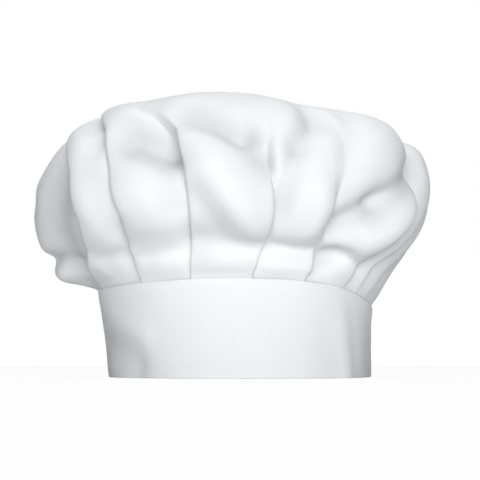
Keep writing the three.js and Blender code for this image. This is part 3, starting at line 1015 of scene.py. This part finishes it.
class Shader(Nodes):
    """A material and its node tree."""

    def __init__(self, name: str) -> None:
        """Starts an empty material."""
        self.material = bpy.data.materials.new(name)
        self.material.use_nodes = True
        super().__init__(self.material.node_tree)

    def noise(self, place: Sock, scale: float, detail: float) -> Sock:
        """Adds a soft noise over places."""
        return self.sock("ShaderNodeTexNoise", 0, {}, {"Vector": place, "Scale": scale, "Detail": detail})

    def blend(self, share: Sock, first: Any, second: Any) -> Sock:
        """Blends two colours by a share of the second."""
        return self.sock("ShaderNodeMix", 2, {"data_type": "RGBA"}, {0: share, 6: first, 7: second})


@dataclass(frozen=True)
class Twill:
    """White twill: a fine slanting weave, soft slubs and a faint unevenness of tone.

    Lengths are in metres, scales of noise are for a metre, and the rest are shares. The colour is
    darkened towards black as painted shade where the crown's cloth lies in a hollow.
    """

    name: str
    light: Colour = (0.86, 0.865, 0.875, 1.0)
    shade: Colour = (0.815, 0.825, 0.84, 1.0)
    rib: float = 0.0009
    rib_slant: float = 0.6
    thread_slant: float = 0.2
    thread_ratio: float = 2.3
    depth: float = 0.00006
    slub: float = 0.00012
    slub_scale: float = 900.0
    slub_tone: float = 0.3
    press: float = 0.0005
    press_scale: float = 26.0
    tone: float = 0.5
    tone_scale: float = 9.0
    roughness: float = 0.88
    rough_change: float = 0.08
    sheen: float = 0.12
    # Share of black blended into the colour at the bottom of a hollow, as painted shade
    painted_shade_tone: float = 0.17

    def material(self) -> bpy.types.Material:
        """Makes the cloth's material, on its own UV map.

        Returns:
            The material.
        """
        shader = Shader(self.name)
        weave = shader.sock("ShaderNodeUVMap", "UV", {"uv_map": WEAVE})
        parts = shader.node("ShaderNodeSeparateXYZ", sockets={0: weave})
        along_cloth, across = Sock(shader, parts.outputs[0]), Sock(shader, parts.outputs[1])
        turn = 2 * math.pi / self.rib
        ribs = ((along_cloth + across * self.rib_slant) * turn).sine()
        threads = ((across - along_cloth * self.thread_slant) * (turn * self.thread_ratio)).sine()
        place = shader.sock("ShaderNodeTexCoord", "Object")
        slubs = shader.noise(weave, self.slub_scale, 2.0)
        press = shader.noise(place, self.press_scale, 3.0)
        tone = shader.noise(place, self.tone_scale, 2.0)
        high = ribs * (self.depth / 2) + threads * (self.depth / 4) + slubs * self.slub
        high = high + press * self.press
        bump = shader.node("ShaderNodeBump", {}, {"Strength": 0.6, "Distance": 1.0, "Height": high})
        uneven = tone * self.tone + slubs * self.slub_tone
        colour = shader.blend(uneven, self.light, self.shade)
        # Painted shade: the colour is blended towards black by how far the point lies in a hollow
        hollow = shader.sock("ShaderNodeAttribute", "Fac", {"attribute_name": PAINTED_SHADE})
        colour = shader.blend(hollow * self.painted_shade_tone, colour, BLACK)
        rough = self.roughness + (slubs - 0.5) * self.rough_change
        cloth = shader.node("ShaderNodeBsdfPrincipled", {}, {
            "Base Color": colour, "Roughness": rough, "Normal": bump.outputs[0],
            "Sheen Weight": self.sheen, "Sheen Roughness": 0.6, "Specular IOR Level": 0.25})
        shader.node("ShaderNodeOutputMaterial", {}, {"Surface": cloth.outputs[0]})
        return shader.material


@dataclass(frozen=True)
class Thread:
    """White sewing thread with a slight shine and a twist."""

    name: str = "sewing_thread"
    colour: Colour = (0.88, 0.88, 0.885, 1.0)
    roughness: float = 0.55
    rough_change: float = 0.1
    twist_scale: float = 2500.0

    def material(self) -> bpy.types.Material:
        """Makes the thread's material.

        Returns:
            The material.
        """
        shader = Shader(self.name)
        twist = shader.noise(shader.sock("ShaderNodeTexCoord", "Object"), self.twist_scale, 1.0)
        bump = shader.node("ShaderNodeBump", {}, {"Strength": 0.4, "Distance": 0.0001, "Height": twist})
        rough = self.roughness + twist * self.rough_change
        body = shader.node("ShaderNodeBsdfPrincipled", {}, {
            "Base Color": self.colour, "Roughness": rough, "Normal": bump.outputs[0]})
        shader.node("ShaderNodeOutputMaterial", {}, {"Surface": body.outputs[0]})
        return shader.material


@dataclass(frozen=True)
class Lamp:
    """A square soft light: its place and side in metres, and its power in watts."""

    name: str
    place: Place
    side: float
    power: float


@dataclass
class Studio:
    """The floor, the soft lights and the camera at the photograph's angle.

    Places are in metres. The camera's sensor and its distance from the hat's middle are in millimetres.
    """

    eye: Place = (0.0072, -0.7486, 0.010)
    aim: Place = (0.0072, 0.0014, 0.102)
    distance: float = 750.0
    mm_per_pixel: float = 0.746
    frame: int = 480
    sensor: float = 36.0
    floor_half: float = 4.0
    floor_glow: float = 0.95
    sky: Colour = (0.965, 0.98, 1.0, 1.0)
    sky_strength: float = 0.03
    lamps: tuple[Lamp, ...] = (
        Lamp("key", (0.10, -1.50, 0.18), 1.00, 26.0),
        Lamp("top", (-0.05, 0.20, 1.60), 1.10, 14.5),
    )
    lit: Place = (0.0, 0.0, 0.12)

    def build(self) -> None:
        """Builds everything that isn't the hat."""
        self.camera()
        self.floor()
        self.world()
        for lamp in self.lamps:
            self.hang(lamp)

    def camera(self) -> None:
        """Makes the camera."""
        data = bpy.data.cameras.new("camera")
        data.sensor_width = self.sensor
        data.lens = self.sensor * self.distance / self.mm_per_pixel / self.frame
        data.clip_start = 0.01
        camera = bpy.data.objects.new("camera", data)
        camera.location = self.eye
        look = Vector(self.aim) - Vector(self.eye)
        camera.rotation_euler = look.to_track_quat("-Z", "Y").to_euler()
        bpy.context.scene.collection.objects.link(camera)
        bpy.context.scene.camera = camera

    def floor(self) -> None:
        """Lays a pale floor that looks as white as the backdrop."""
        shader = Shader("pale_floor")
        ray = shader.sock("ShaderNodeLightPath", "Is Camera Ray")
        body = shader.node("ShaderNodeBsdfPrincipled", {}, {
            "Base Color": (0.9, 0.9, 0.9, 1.0), "Roughness": 0.9})
        glow = shader.node("ShaderNodeEmission", {}, {"Color": WHITE, "Strength": 1.0})
        both = shader.node("ShaderNodeMixShader", {}, {
            0: ray * self.floor_glow, 1: body.outputs[0], 2: glow.outputs[0]})
        shader.node("ShaderNodeOutputMaterial", {}, {"Surface": both.outputs[0]})
        half = self.floor_half
        corners = [(-half, -half, 0), (half, -half, 0), (half, half, 0), (-half, half, 0)]
        mesh = bpy.data.meshes.new("floor")
        mesh.from_pydata(corners, [], [(0, 1, 2, 3)])
        mesh.materials.append(shader.material)
        floor = bpy.data.objects.new("floor", mesh)
        bpy.context.scene.collection.objects.link(floor)

    def world(self) -> None:
        """Sets a white backdrop with a dimmer even light."""
        world = bpy.data.worlds.new("studio")
        world.use_nodes = True
        bpy.context.scene.world = world
        node = Nodes(world.node_tree).node
        light = node("ShaderNodeBackground", {}, {"Color": self.sky, "Strength": self.sky_strength})
        seen = node("ShaderNodeBackground", {}, {"Color": WHITE})
        ray = node("ShaderNodeLightPath")
        both = node("ShaderNodeMixShader", {}, {
            0: ray.outputs["Is Camera Ray"], 1: light.outputs[0], 2: seen.outputs[0]})
        node("ShaderNodeOutputWorld", {}, {"Surface": both.outputs[0]})
        bpy.context.scene.view_settings.view_transform = "Standard"

    def hang(self, lamp: Lamp) -> None:
        """Hangs a lamp that looks at the crown.

        Args:
            lamp: The lamp.
        """
        data = bpy.data.lights.new(lamp.name, "AREA")
        data.size = lamp.side
        data.energy = lamp.power
        light = bpy.data.objects.new(lamp.name, data)
        light.location = lamp.place
        look = Vector(self.lit) - Vector(lamp.place)
        light.rotation_euler = look.to_track_quat("-Z", "Y").to_euler()
        bpy.context.scene.collection.objects.link(light)


@dataclass
class Hat:
    """The whole hat: its cloth, its stitches and their finishes.

    The crown's radius and the band's length and width are those of the flat cloth, in metres. Neither is
    used.
    """

    form: HatForm = field(default_factory=HatForm)
    crown_cut: float = 0.27
    band_strip: Pair = (0.60, 0.126)

    def build(self) -> list[bpy.types.Object]:
        """Builds and dresses every piece.

        Returns:
            The pieces, in the order they are sewn.
        """
        maker = Band(self.form)
        crown, band = Crown(self.form).build(), maker.build()
        crown.data.materials.append(Twill("crown_twill").material())
        band.data.materials.append(Twill("band_twill").material())
        thread = Thread().material()
        pieces = [crown, band] + [row.build(maker, thread) for row in STITCH_ROWS]
        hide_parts("crown")
        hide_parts("band")
        for piece in pieces:
            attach(piece, "root")
        return pieces


def main() -> None:
    """Loads the frame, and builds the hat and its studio."""
    logging.basicConfig(level=logging.INFO, format="%(name)s: %(message)s")
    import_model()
    for piece in Hat().build():
        log.info("%s: %d faces", piece.name, len(piece.data.polygons))
    Studio().build()
    log.info("studio: floor, two lamps and a camera")


if __name__ == "__main__":
    main()
